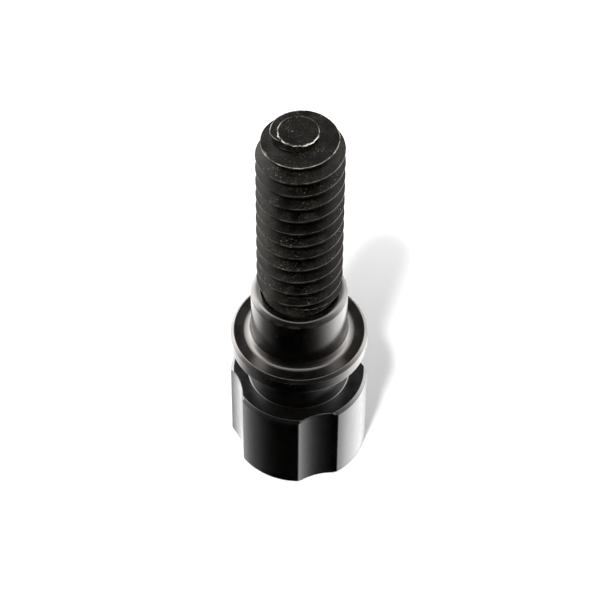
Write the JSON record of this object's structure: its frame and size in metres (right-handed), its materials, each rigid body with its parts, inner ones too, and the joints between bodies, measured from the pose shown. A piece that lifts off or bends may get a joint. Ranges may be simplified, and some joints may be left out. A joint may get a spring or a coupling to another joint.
{
  "type": "captive clamp screw",
  "caption": "Black tool post screw with fluted head, free-turning flanged sleeve, coarse thread and dog point.",
  "frame": {"origin": "centre of the fluted head's end face, where the screw stands", "axes": "+Z along the screw's axis from the head towards the dog point; +X is square to it, with the first flute 17.4 degrees from +X"},
  "size_m": [0.0104, 0.0104, 0.0332],
  "materials": {
    "spindle_black_oxide": "matte black oxide on steel, dry and slightly brown, with worn bright thread crests",
    "sleeve_black_oxide": "satin black oxide on turned steel",
    "head_black_oxide": "satin black oxide on turned and milled steel",
    "pin_steel": "hardened ground steel, lightly oiled"
  },
  "bodies": {
    "screw": {"fluted_head": "head_black_oxide", "threaded_spindle": "spindle_black_oxide", "lock_pin": "pin_steel"},
    "sleeve": {"flanged_sleeve": "sleeve_black_oxide"}
  },
  "joints": [
    {"name": "sleeve_turn", "type": "hinge", "parent": "screw", "child": "sleeve", "pos_m": [0, 0, 0.01404], "axis": [0, 0, 1], "continuous": true}
  ]
}
